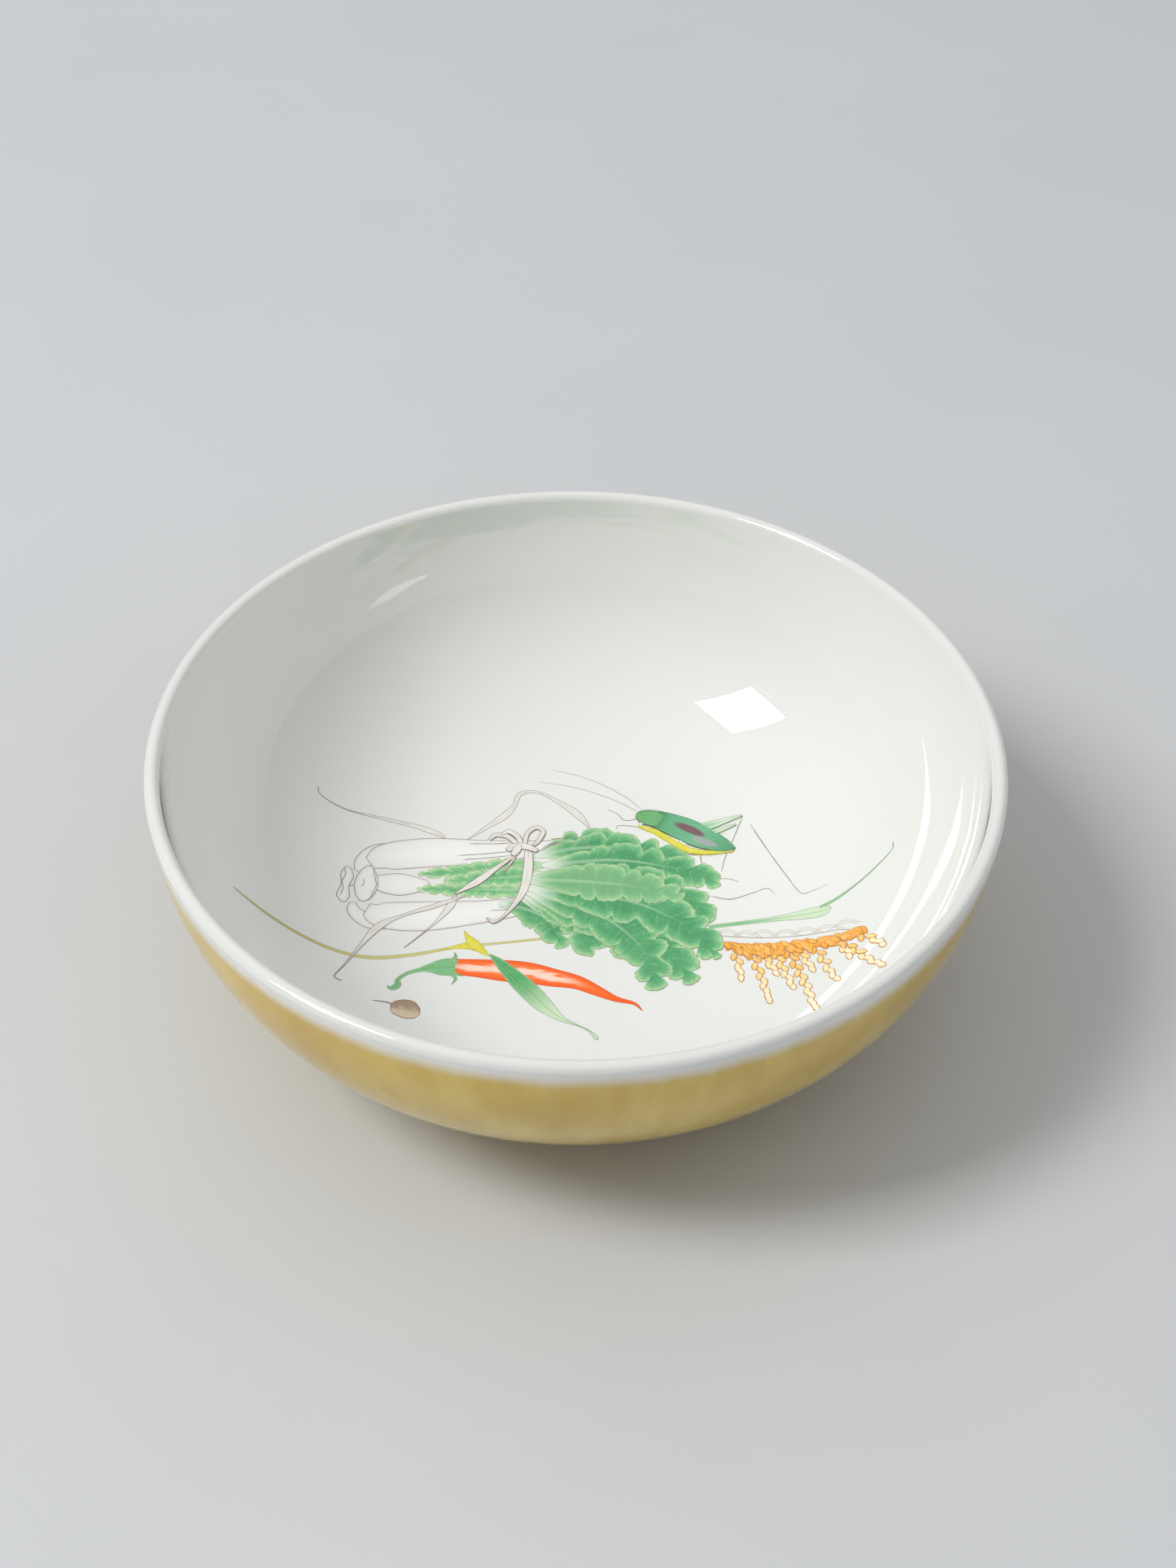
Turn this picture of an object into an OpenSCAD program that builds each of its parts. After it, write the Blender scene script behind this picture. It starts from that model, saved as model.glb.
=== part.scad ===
// Shallow porcelain tea bowl with a sunken foot, yellow outside and painted inside in raised enamel.
// Millimetres. The origin is the centre of the foot where it stands on the table, and +Z is up.
// The painting is laid out as seen from above: +X is to its right and +Y is to its top.

/* [Bowl] */
// Diameter at the widest line, just under the lip
rim_d = 90; // [86:1:94]
// Height from the table to the top of the lip
height = 31; // [30:0.5:32]
// Thickness of the wall at the lip, glaze included
lip_t = 1.6; // [1.4:0.1:2]
// Depth from the top of the lip to the middle of the floor inside
depth = 26.6; // [26.4:0.1:26.9]
// Radius of the curve of the wall inside
inner_curve = 25; // [24.7:0.1:25.1]

/* [Foot] */
// Outside diameter of the bare ring that touches the table
foot_d = 34; // [32:1:36]
// Width of that ring
foot_w = 3; // [2:0.5:4]
// How far the ring stands down from the curve of the wall
foot_h = 0.9; // [0.7:0.1:1.1]
// Depth of the recess inside the ring
recess = 2; // [1.6:0.1:2.2]

/* [Glaze] */
// Thickness of each glaze
glaze_t = 0.25; // [0.2:0.05:0.3]
// Width of the white band between the widest line and the yellow
white_band = 0.4; // [0.3:0.1:1.2]
// Height of the raised enamel above the glaze
enamel_t = 0.15; // [0.1:0.05:0.2]

/* [Painting] */
// Width of the finest drawn lines
line_w = 0.3; // [0.25:0.05:0.4]
// Depth of the waves along the cabbage's edge
frill_h = 0.7; // [0.5:0.1:0.9]
// Number of those waves
frills = 26; // [20:1:32]
// Length of one grain of the millet
grain_l = 1.7; // [1.5:0.1:1.8]

/* [Hidden] */
$fn = 180;

rim_r = rim_d / 2;
lip_r = lip_t / 2;
rim_z = height - lip_r;                         // height of the widest line
wall_curve = rim_z - foot_h;                    // radius of the outside curve
wall_r = rim_r - wall_curve;                    // how far from the axis it is centred
inner_r = rim_r - lip_t - inner_curve;          // the same for the inside curve
floor_z = height - depth;
drop = rim_z - floor_z;
floor_curve = (inner_r * inner_r + drop * drop - inner_curve * inner_curve) / (2 * (drop - inner_curve));
floor_top = floor_z + floor_curve;              // height where the floor's large curve is centred
blend_a = atan2(inner_r, floor_curve - drop);   // the floor meets the wall on this ray
foot_r = foot_d / 2;
recess_r = foot_r - foot_w;
corner_r = 1;                                   // rounding inside the recess
edge_r = 0.3;                                   // rounding of the foot ring
yellow_z = rim_z - white_band;
paint_scale = rim_d / 90;
paint_top = rim_z - 5;                          // the enamel stays below this
far = 2 * rim_d;

// ---- Cross-sections, drawn to the right of the axis ----

// Everything inside the outer surface, drawn in by t
module outside(t) {
    intersection() {
        union() {
            translate([wall_r, rim_z]) circle(r = wall_curve - t);
            translate([0, foot_h + t]) square([wall_r, height]);
        }
        square([far, rim_z]);
    }
    intersection() {
        translate([rim_r - lip_r, rim_z]) circle(r = lip_r - t);
        translate([0, rim_z]) square(far);
    }
}

// The space inside the bowl, grown by t
module hollow(t) {
    intersection() {
        translate([inner_r, rim_z]) circle(r = inner_curve + t);
        square([far, rim_z]);
    }
    intersection() {
        translate([0, floor_top]) circle(r = floor_curve + t);
        polygon([[0, 0], [floor_top * tan(blend_a), 0], [inner_r, rim_z], [0, rim_z]]);
    }
}

// The rounded top of the recess under the bowl, grown by t
module recess_top(t) {
    translate([0, recess - corner_r]) square([recess_r - corner_r, corner_r + t]);
    intersection() {
        translate([recess_r - corner_r, recess - corner_r]) circle(r = corner_r + t);
        translate([0, recess - corner_r]) square(far);
    }
}

// The foot ring down to the table
module ring() {
    ring_top = foot_h + 2 * glaze_t;
    translate([recess_r, edge_r]) square([foot_w, ring_top - edge_r]);
    translate([recess_r + edge_r, 0]) square([foot_w - 2 * edge_r, ring_top]);
    for (r = [recess_r + edge_r, foot_r - edge_r]) translate([r, edge_r]) circle(r = edge_r);
}

module body_section() {
    difference() {
        union() {
            outside(glaze_t);
            ring();
        }
        hollow(glaze_t);
        recess_top(glaze_t);
        square([recess_r, recess - corner_r]);
    }
}

// The skin inside and over the lip, down to the yellow
module inner_glaze_section() {
    difference() {
        outside(0);
        hollow(0);
        difference() {
            union() {
                outside(glaze_t);
                square([far, yellow_z]);
            }
            hollow(glaze_t);
        }
    }
}

// ---- Curves for the painting ----

// A point between b and c on the smooth curve through a, b, c and d
function between(a, b, c, d, t) =
    0.5 * (2 * b + (c - a) * t + (2 * a - 5 * b + 4 * c - d) * t * t + (3 * b - a - 3 * c + d) * t * t * t);

// A smooth open line through the points p, with n steps to each span
function line_through(p, n = 5) = let (last = len(p) - 1) concat(
    [for (i = [0:last - 1], k = [0:n - 1])
        between(p[max(i - 1, 0)], p[i], p[i + 1], p[min(i + 2, last)], k / n)],
    [p[last]]);

// The same, closed into a loop
function loop_through(p, n = 5) = let (m = len(p))
    [for (i = [0:m - 1], k = [0:n - 1])
        between(p[(i + m - 1) % m], p[i], p[(i + 1) % m], p[(i + 2) % m], k / n)];

// The direction across a line c at its point i
function across(c, i) = let (v = c[min(i + 1, len(c) - 1)] - c[max(i - 1, 0)]) [-v[1], v[0]] / norm(v);

// Both sides of the line c, where half_w gives half the width at each point
function ribbon(c, half_w) = let (last = len(c) - 1) concat(
    [for (i = [0:last]) c[i] + across(c, i) * half_w[i]],
    [for (i = [last:-1:0]) c[i] - across(c, i) * half_w[i]]);

// A drawn line whose width goes evenly from w0 to w1
module stroke(p, w0 = line_w, w1 = line_w, n = 5) {
    c = line_through(p, n);
    last = len(c) - 1;
    polygon(ribbon(c, [for (i = [0:last]) (w0 + (w1 - w0) * i / last) / 2]));
}

// A leaf or pod along p, w wide at its fullest, which comes at the share full of its length
module leaf(p, w, full = 0.5, n = 5) {
    c = line_through(p, n);
    last = len(c) - 1;
    swell = ln(0.5) / ln(full);
    polygon(ribbon(c, [for (i = [0:last]) line_w / 3 + w / 2 * pow(sin(180 * pow(i / last, swell)), 0.8)]));
}

// A closed outline, drawn clockwise and moved in by inset, whose edge swings in and out in round waves
module waved(p, depth, inset, n = 8) {
    c = loop_through(p, n);
    m = len(c);
    polygon([for (i = [0:m - 1])
        let (v = c[(i + 1) % m] - c[(i + m - 1) % m], out = [-v[1], v[0]] / norm(v))
            c[i] + out * (depth * (abs(sin(180 * frills * i / m)) - 0.5) - inset)]);
}

// One grain, pointing along the angle a
module grain(at, a) {
    translate(at) rotate(a)
        polygon([for (k = [0:45:315]) [grain_l / 2 * (1 + cos(k)), grain_l * 0.24 * sin(k)]]);
}

// The painted film over the outline that is its child
module enamel() {
    intersection() {
        rotate_extrude() difference() {
            hollow(0);
            hollow(-enamel_t);
            translate([0, paint_top]) square(far);
        }
        linear_extrude(height) scale(paint_scale) children();
    }
}

// ---- Outlines of the painting ----

leaf_edge = [[-3, 9], [1, 13], [5, 13.5], [9, 11.5], [13, 9], [16, 5.5], [15.5, 2], [16, -1.5], [16.5, -5],
    [13.5, -7], [13.5, -10.5], [10, -12], [7, -10], [6, -7], [2.5, -7], [-1, -6], [-3, -3.5], [-2, 0]];
heart_edge = [[-17, 5.5], [-12, 7.5], [-6, 8.5], [-3, 9], [-2, 6], [-2, 3], [-8, 3.5], [-14, 3]];
stalk_lines = [
    [[-24.5, 5], [-23, 8.5], [-18.5, 10.5], [-12, 11], [-8, 11]],
    [[-24.5, -1], [-22, -3.5], [-17, -4], [-12, -2.5], [-7.5, 0], [-3.5, 0.5]],
    [[-22.5, 5.2], [-20, 5.2], [-18.3, 4.2], [-18.3, 2.6], [-20, 1.6], [-22.5, 1.6]],
    [[-5.5, 11], [-1.5, 12], [0.5, 13]]];
root_lines = [
    [[-24.3, 5.2], [-23.6, 4], [-23.4, 1.8], [-24, 0.2], [-24.8, 1], [-25, 4]],
    [[-25.7, 5], [-26.5, 3.5], [-26, 2.2], [-26.5, 0.8], [-25.7, -0.5]]];
straw_lines = [
    [[-15.5, 11.6], [-18, 12.5], [-22, 13], [-27, 13], [-29.5, 13.8]],
    [[-12.5, 11], [-9, 14], [-7, 17.5], [-6, 19.5], [-3, 19], [-0.5, 16.5], [1.5, 14]],
    [[-7, 9.5], [-10, 6], [-13, 2.5], [-15.5, -1], [-18.5, -6]],
    [[-13.5, 1.5], [-17, -1], [-21.5, -3], [-24, -7.5], [-25.5, -12.5]],
    [[-6, 9.5], [-5.5, 6], [-6, 3], [-7.5, 0], [-9, -1.5]]];
bow_loops = [
    [[-6.8, 9.8], [-9, 10.8], [-10.2, 12], [-8.5, 12.3], [-6.9, 11]],
    [[-6.4, 11], [-6, 12.6], [-4.6, 13.6], [-4, 12.4], [-5.2, 10.4]]];
chilli_line = [[-13.5, -8.5], [-10, -8.8], [-6, -9], [-2.5, -9.8], [0.5, -10.4], [3, -12.2], [6, -13.5],
    [7.5, -14.8]];
cap_line = [[-16.5, -9.3], [-15, -8.8], [-13.2, -8.4]];
hook_line = [[-16, -9.2], [-18, -10], [-19.2, -11.5], [-20, -12.5]];
stem_line = [[-37, -6], [-32, -7], [-25, -8.2], [-19, -7.5], [-13, -5.5], [-8, -4.5], [-4, -3.8]];
sheath_edge = [[-12.2, -3.4], [-11.5, -4.4], [-10.4, -4.8], [-9.6, -6.2], [-11, -5.9], [-13.5, -5.9]];
blade_line = [[16, -2.2], [20.5, -1.8], [25, -1], [28.5, -0.2]];
blade_tip = [[28, -0.2], [30, 0.8], [32, 1.6], [34, 3], [35, 4.5]];
cross_line = [[-9.5, -6.8], [-7.5, -9], [-5, -12], [-2, -15], [0.5, -17]];
cross_tip = [[0, -16.6], [1.5, -17.8], [2.5, -19]];
cap_w = 2.2;
chilli_w = 3;
cross_w = 2.2;
blade_w = 1.2;
frill_w = 1.2;                      // how far the light edge of the leaves reaches in
knot_at = [-6.3, 10];
knot_r = 0.9;

// Each hanging branch of the millet: where it leaves the main stalk, and where it ends
branches = [[[17.5, -4.8], [18.5, -10]], [[19, -4.8], [21, -14]], [[21, -4.9], [23.5, -12]],
    [[23, -5], [25.8, -16.5]], [[25, -5.1], [28, -13]], [[27, -5.2], [30.5, -9.5]],
    [[28.5, -5.4], [32.5, -13.5]],
    [[30, -5.6], [33.2, -10.5]]];
millet_line = [[15.8, -3.8], [19, -4.4], [24, -4.8], [28, -5.2], [31, -6]];

insect_back = [[7.3, 14.6], [7.6, 16.2], [9, 16.4], [11.5, 15.8], [15, 13.6], [18, 10.4], [17.6, 9.8],
    [14, 10.6],
    [10.5, 12.8], [8.5, 14.2]];
belly_line = [[7.5, 13.9], [9, 12.7], [11.5, 10.6], [14.5, 9.6], [17.5, 9.4]];
leg_lines = [
    [[14.5, 12.8], [17, 14.2], [19.3, 14.8]],
    [[19.3, 14.8], [18, 11], [16.8, 7.5], [16.6, 6]],
    [[20.2, 13.5], [22, 9.5], [24, 5], [25.6, 2], [27, 2.2], [28.4, 2.5]],
    [[15.5, 2.8], [18, 2.2], [20.5, 3.2], [22.6, 3]],
    [[9.2, 13], [7, 13.9], [4.8, 14.1]],
    [[7.2, 15.3], [5.5, 15], [3.8, 16.6]],
    [[12.5, 10.6], [13.4, 9.8], [14.2, 8.8]]];
feeler_lines = [
    [[7.8, 16.4], [5, 18.8], [1, 21.4], [-3, 22.8]],
    [[7.5, 16], [4, 18], [0, 20.2], [-4.5, 21]]];
bean_at = [-18, -15.8];
bean_r = 1.6;
bean_stalk = [[-19.4, -15.4], [-20.4, -15.2], [-21.2, -15.5]];
grain_gap = 0.55;                   // step from grain to grain, as a share of a grain's length
grain_turn = 35;                    // how far the first grains lean away from their branch

// The parts of the drawing that others are cut out around
module ties() {
    for (p = straw_lines) stroke(p, 2 * line_w, line_w);
    for (p = bow_loops) stroke(p);
    translate(knot_at) circle(r = knot_r);
}

module stalks() {
    for (p = concat(stalk_lines, root_lines)) stroke(p);
}

module leaf_mass() {
    waved(leaf_edge, frill_h / 2, frill_w);
    polygon(loop_through(heart_edge));
}

module back() {
    polygon(loop_through(insect_back));
}

module belly() {
    stroke(belly_line, 3 * line_w, line_w);
}

module legs() {
    for (p = leg_lines) stroke(p, n = 3);
    for (p = feeler_lines) stroke(p, line_w, line_w / 2);
}

module crossing() {
    leaf(cross_line, cross_w);
    stroke(cross_tip, 2 * line_w, line_w);
}

module sheath() {
    polygon(sheath_edge);
}

module cap() {
    leaf(cap_line, cap_w, 0.7);
    stroke(hook_line, 2 * line_w, line_w);
}

// The grains of one branch sit on its two sides in turn, with one at its end
module branch_grains(b) {
    along = b[1] - b[0];
    a = atan2(along[1], along[0]);
    count = floor(norm(along) / (grain_l * grain_gap));
    for (k = [0:count]) {
        side = k % 2 == 0 ? 1 : -1;
        grain(b[0] + along * k / count, a + side * grain_turn * (1 - k / count));
    }
}

// ---- Sub-parts ----

module porcelain_body() {
    color("ghostwhite") rotate_extrude() body_section();
}

module inner_glaze() {
    color("whitesmoke") rotate_extrude() inner_glaze_section();
}

module yellow_glaze() {
    color("gold") rotate_extrude() intersection() {
        difference() {
            outside(0);
            outside(glaze_t);
        }
        translate([foot_r, 0]) square([far, yellow_z]);
    }
}

module foot_glaze() {
    color("white") rotate_extrude() difference() {
        recess_top(glaze_t);
        recess_top(0);
    }
}

module cabbage_leaves() {
    color("seagreen") enamel() difference() {
        leaf_mass();
        ties();
        stalks();
        legs();
    }
}

module cabbage_frills() {
    color("palegreen") enamel() difference() {
        waved(leaf_edge, frill_h, 0);
        leaf_mass();
        ties();
        stalks();
        legs();
        back();
    }
}

module cabbage_stalks() {
    color("rosybrown") enamel() difference() {
        stalks();
        ties();
    }
}

module straw_tie() {
    color("tan") enamel() ties();
}

module chilli_fruit() {
    color("orangered") enamel() difference() {
        leaf(chilli_line, chilli_w, 0.35);
        crossing();
        cap();
    }
}

module chilli_cap() {
    color("mediumseagreen") enamel() cap();
}

module grass_stem() {
    color("darkkhaki") enamel() difference() {
        stroke(stem_line, 2 * line_w, line_w);
        waved(leaf_edge, frill_h, 0);
        ties();
        sheath();
        crossing();
    }
}

module grass_sheath() {
    color("yellow") enamel() difference() {
        sheath();
        crossing();
    }
}

module grass_blade() {
    color("mediumaquamarine") enamel() difference() {
        union() {
            leaf(blade_line, blade_w, 0.75);
            stroke(blade_tip);
        }
        waved(leaf_edge, frill_h, 0);
    }
}

module cross_leaf() {
    color("mediumseagreen") enamel() crossing();
}

module millet_grains() {
    color("orange") enamel() for (b = branches) branch_grains(b);
}

module millet_stalks() {
    color("peru") enamel() difference() {
        stroke(millet_line);
        for (b = branches) branch_grains(b);
    }
}

module insect_body() {
    color("darkseagreen") enamel() back();
}

module insect_belly() {
    color("yellowgreen") enamel() difference() {
        belly();
        back();
    }
}

module insect_legs() {
    color("dimgray") enamel() difference() {
        legs();
        belly();
        back();
    }
}

module bean() {
    color("saddlebrown") enamel() {
        translate(bean_at) circle(r = bean_r);
        stroke(bean_stalk);
    }
}

porcelain_body();
inner_glaze();
yellow_glaze();
foot_glaze();
cabbage_leaves();
cabbage_frills();
cabbage_stalks();
straw_tie();
chilli_fruit();
chilli_cap();
grass_stem();
grass_sheath();
grass_blade();
cross_leaf();
millet_grains();
millet_stalks();
insect_body();
insect_belly();
insect_legs();
bean();
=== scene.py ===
"""A shallow porcelain tea bowl: clear glaze and raised enamel painting inside, yellow glaze outside.

The drawing is worked out in millimetres and turned into metres when a mesh is made.
"""

import bmesh
import bpy
import numpy as np
from mathutils import Euler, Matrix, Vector


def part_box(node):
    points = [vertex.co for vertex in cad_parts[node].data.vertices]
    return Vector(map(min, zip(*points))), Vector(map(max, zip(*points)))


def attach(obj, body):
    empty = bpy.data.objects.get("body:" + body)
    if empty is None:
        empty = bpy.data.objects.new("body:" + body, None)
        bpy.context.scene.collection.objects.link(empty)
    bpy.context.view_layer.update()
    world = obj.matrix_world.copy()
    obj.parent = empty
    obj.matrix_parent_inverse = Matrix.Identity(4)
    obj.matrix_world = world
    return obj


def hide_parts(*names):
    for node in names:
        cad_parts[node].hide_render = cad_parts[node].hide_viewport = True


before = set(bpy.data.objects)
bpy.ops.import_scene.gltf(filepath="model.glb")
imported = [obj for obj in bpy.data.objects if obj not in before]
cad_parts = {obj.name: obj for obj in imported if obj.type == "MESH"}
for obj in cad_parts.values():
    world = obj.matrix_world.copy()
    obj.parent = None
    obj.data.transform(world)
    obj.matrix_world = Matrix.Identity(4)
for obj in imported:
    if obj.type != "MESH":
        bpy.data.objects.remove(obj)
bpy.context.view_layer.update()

MM = 0.001
SEED = 11
rng = np.random.default_rng(SEED)

# ---------------------------------------------------------------- the bowl's own sizes, in millimetres
glaze_low, glaze_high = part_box("inner_glaze")
RIM_R = glaze_high.x / MM  # radius at the widest line
HEIGHT = glaze_high.z / MM
GLAZE = 0.25  # thickness of each glaze
LIP_T = 1.6  # thickness of the wall at the lip
LIP_R = LIP_T / 2
RIM_Z = HEIGHT - LIP_R
FOOT_H = 0.9  # the ring stands this far down from the wall's curve
WALL_CURVE = RIM_Z - FOOT_H
WALL_R = RIM_R - WALL_CURVE
INNER_CURVE = 25.0
INNER_R = RIM_R - LIP_T - INNER_CURVE
FLOOR_Z = glaze_low.z / MM + GLAZE
DROP = RIM_Z - FLOOR_Z
FLOOR_CURVE = (INNER_R**2 + DROP**2 - INNER_CURVE**2) / (2 * (DROP - INNER_CURVE))
FLOOR_TOP = FLOOR_Z + FLOOR_CURVE
BLEND = np.arctan2(INNER_R, FLOOR_CURVE - DROP)  # the floor meets the wall on this ray
FOOT_R = 17.0
FOOT_W = 3.0  # width of the bare foot ring
RECESS_R = FOOT_R - FOOT_W
RECESS = 2.0  # depth of the recess under the bowl
CORNER_R = 1.0  # rounds the recess where its roof meets the ring
EDGE_R = 0.3  # rounds both edges of the ring
WHITE_BAND = 0.4  # the yellow glaze starts this far below the lip's widest line
YELLOW_Z = RIM_Z - WHITE_BAND
GAP = 0.01  # keeps hidden faces of neighbouring layers apart
TURNS = 288  # steps round the bowl


# ---------------------------------------------------------------- curves and the bowl's inner surface
def arc(centre, radius, start, end, steps):
    """Points of a circle, angles in degrees from +r towards +z."""
    a = np.radians(np.linspace(start, end, steps + 1))
    return np.column_stack([centre[0] + radius * np.cos(a), centre[1] + radius * np.sin(a)])


def smooth(points, steps=12):
    """A smooth line through the points (Catmull-Rom)."""
    p = np.asarray(points, float)
    ends = np.vstack([2 * p[0] - p[1], p, 2 * p[-1] - p[-2]])
    t = np.linspace(0, 1, steps, endpoint=False)[:, None]
    spans = []
    for i in range(len(p) - 1):
        a, b, c, d = ends[i : i + 4]
        spans.append(
            0.5 * (2 * b + (c - a) * t + (2 * a - 5 * b + 4 * c - d) * t**2 + (3 * b - a - 3 * c + d) * t**3)
        )
    return np.vstack(spans + [p[-1:]])


def run_of(line):
    """How far each point is from the start, measured along the line."""
    return np.concatenate([[0], np.cumsum(np.linalg.norm(np.diff(line, axis=0), axis=1))])


def read_off(at, known, points):
    """Points between the given ones, which are known at rising values, for new values."""
    return np.column_stack([np.interp(at, known, points[:, k]) for k in range(2)])


def even(line, step):
    """The same line with its points a constant step apart, and how far each is from the start."""
    s = run_of(line)
    n = max(int(np.ceil(s[-1] / step)), 4)
    at = np.linspace(0, s[-1], n + 1)
    return read_off(at, s, line), at


def side_of(line):
    """Unit vectors to the left of a line."""
    d = np.gradient(line, axis=0)
    d /= np.linalg.norm(d, axis=1)[:, None]
    return np.column_stack([-d[:, 1], d[:, 0]])


def lay(xy, lift):
    """Points of the plan drawing put on the inner glaze and raised by lift along its normal, in metres."""
    r = np.hypot(xy[..., 0], xy[..., 1])
    on_floor = r < FLOOR_CURVE * np.sin(BLEND)
    floor_drop = np.sqrt(FLOOR_CURVE**2 - r**2)
    wall_in = np.clip(r - INNER_R, None, INNER_CURVE * 0.999)
    wall_drop = np.sqrt(INNER_CURVE**2 - np.where(on_floor, 0, wall_in) ** 2)
    z = np.where(on_floor, FLOOR_TOP - floor_drop, RIM_Z - wall_drop)
    n_r = np.where(on_floor, -r / FLOOR_CURVE, -wall_in / INNER_CURVE)
    n_z = np.where(on_floor, floor_drop / FLOOR_CURVE, wall_drop / INNER_CURVE)
    out = xy / np.maximum(r, 1e-9)[..., None]
    flat = xy + out * (n_r * lift)[..., None]
    return np.concatenate([flat, (z + n_z * lift)[..., None]], axis=-1) * MM


# ---------------------------------------------------------------- mesh makers
SHARP = 40  # degrees; edges that turn more than this are shaded as sharp


def make_object(name, verts, faces, material, attributes=None):
    """A mesh object with its faces turned outward, smooth but for its sharp edges. Points are in metres."""
    mesh = bpy.data.meshes.new(name)
    mesh.from_pydata([tuple(v) for v in verts], [], faces)
    mesh.validate()
    closed = bmesh.new()
    closed.from_mesh(mesh)
    bmesh.ops.recalc_face_normals(closed, faces=closed.faces)
    closed.to_mesh(mesh)
    closed.free()
    for key, values in (attributes or {}).items():
        layer = mesh.attributes.new(key, "FLOAT_VECTOR", "POINT")
        layer.data.foreach_set("vector", np.asarray(values, np.float32).ravel())
    mesh.materials.append(material)
    mesh.shade_smooth()
    mesh.set_sharp_from_angle(angle=np.radians(SHARP))
    obj = bpy.data.objects.new(name, mesh)
    bpy.context.scene.collection.objects.link(obj)
    return obj


def lathe(name, profile, material):
    """A closed solid of revolution from a closed outline in millimetres. Points on the axis become poles."""
    a = np.linspace(0, 2 * np.pi, TURNS, endpoint=False)
    verts, rings = [], []
    for r, z in profile:
        if r < 1e-6:
            rings.append([len(verts)] * TURNS)
            verts.append((0, 0, z * MM))
            continue
        start = len(verts)
        verts += [(r * MM * c, r * MM * s, z * MM) for c, s in zip(np.cos(a), np.sin(a))]
        rings.append(list(range(start, start + TURNS)))
    faces = []
    for ring, after in zip(rings, rings[1:] + rings[:1]):
        for i in range(TURNS):
            j = (i + 1) % TURNS
            corners = [ring[i], ring[j], after[j], after[i]]
            face = [v for k, v in enumerate(corners) if v not in corners[:k]]
            if len(face) > 2:
                faces.append(face)
    return make_object(name, verts, faces, material)


STEP_UP = 0.01  # each film that overlaps another sits this much higher
FILM = 0.009  # height of one film
LINE = 0.015  # height of a drawn line
LIFT = 0.006  # the thin edge of a film stands this far above the glaze
SUNK = 0.06  # the underside of a film lies this far inside the glaze
LEAST = 0.02  # no half width and no distance from a tip counts as less than this
LEAF_ROWS = 400  # rows that a leaf's outline is worked out on
LEAF_STEP = 0.13  # rows of the finished leaf are this far apart
SHORT_OF_TIP = 0.99999  # keeps a leaf's last row from closing on itself


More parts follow.
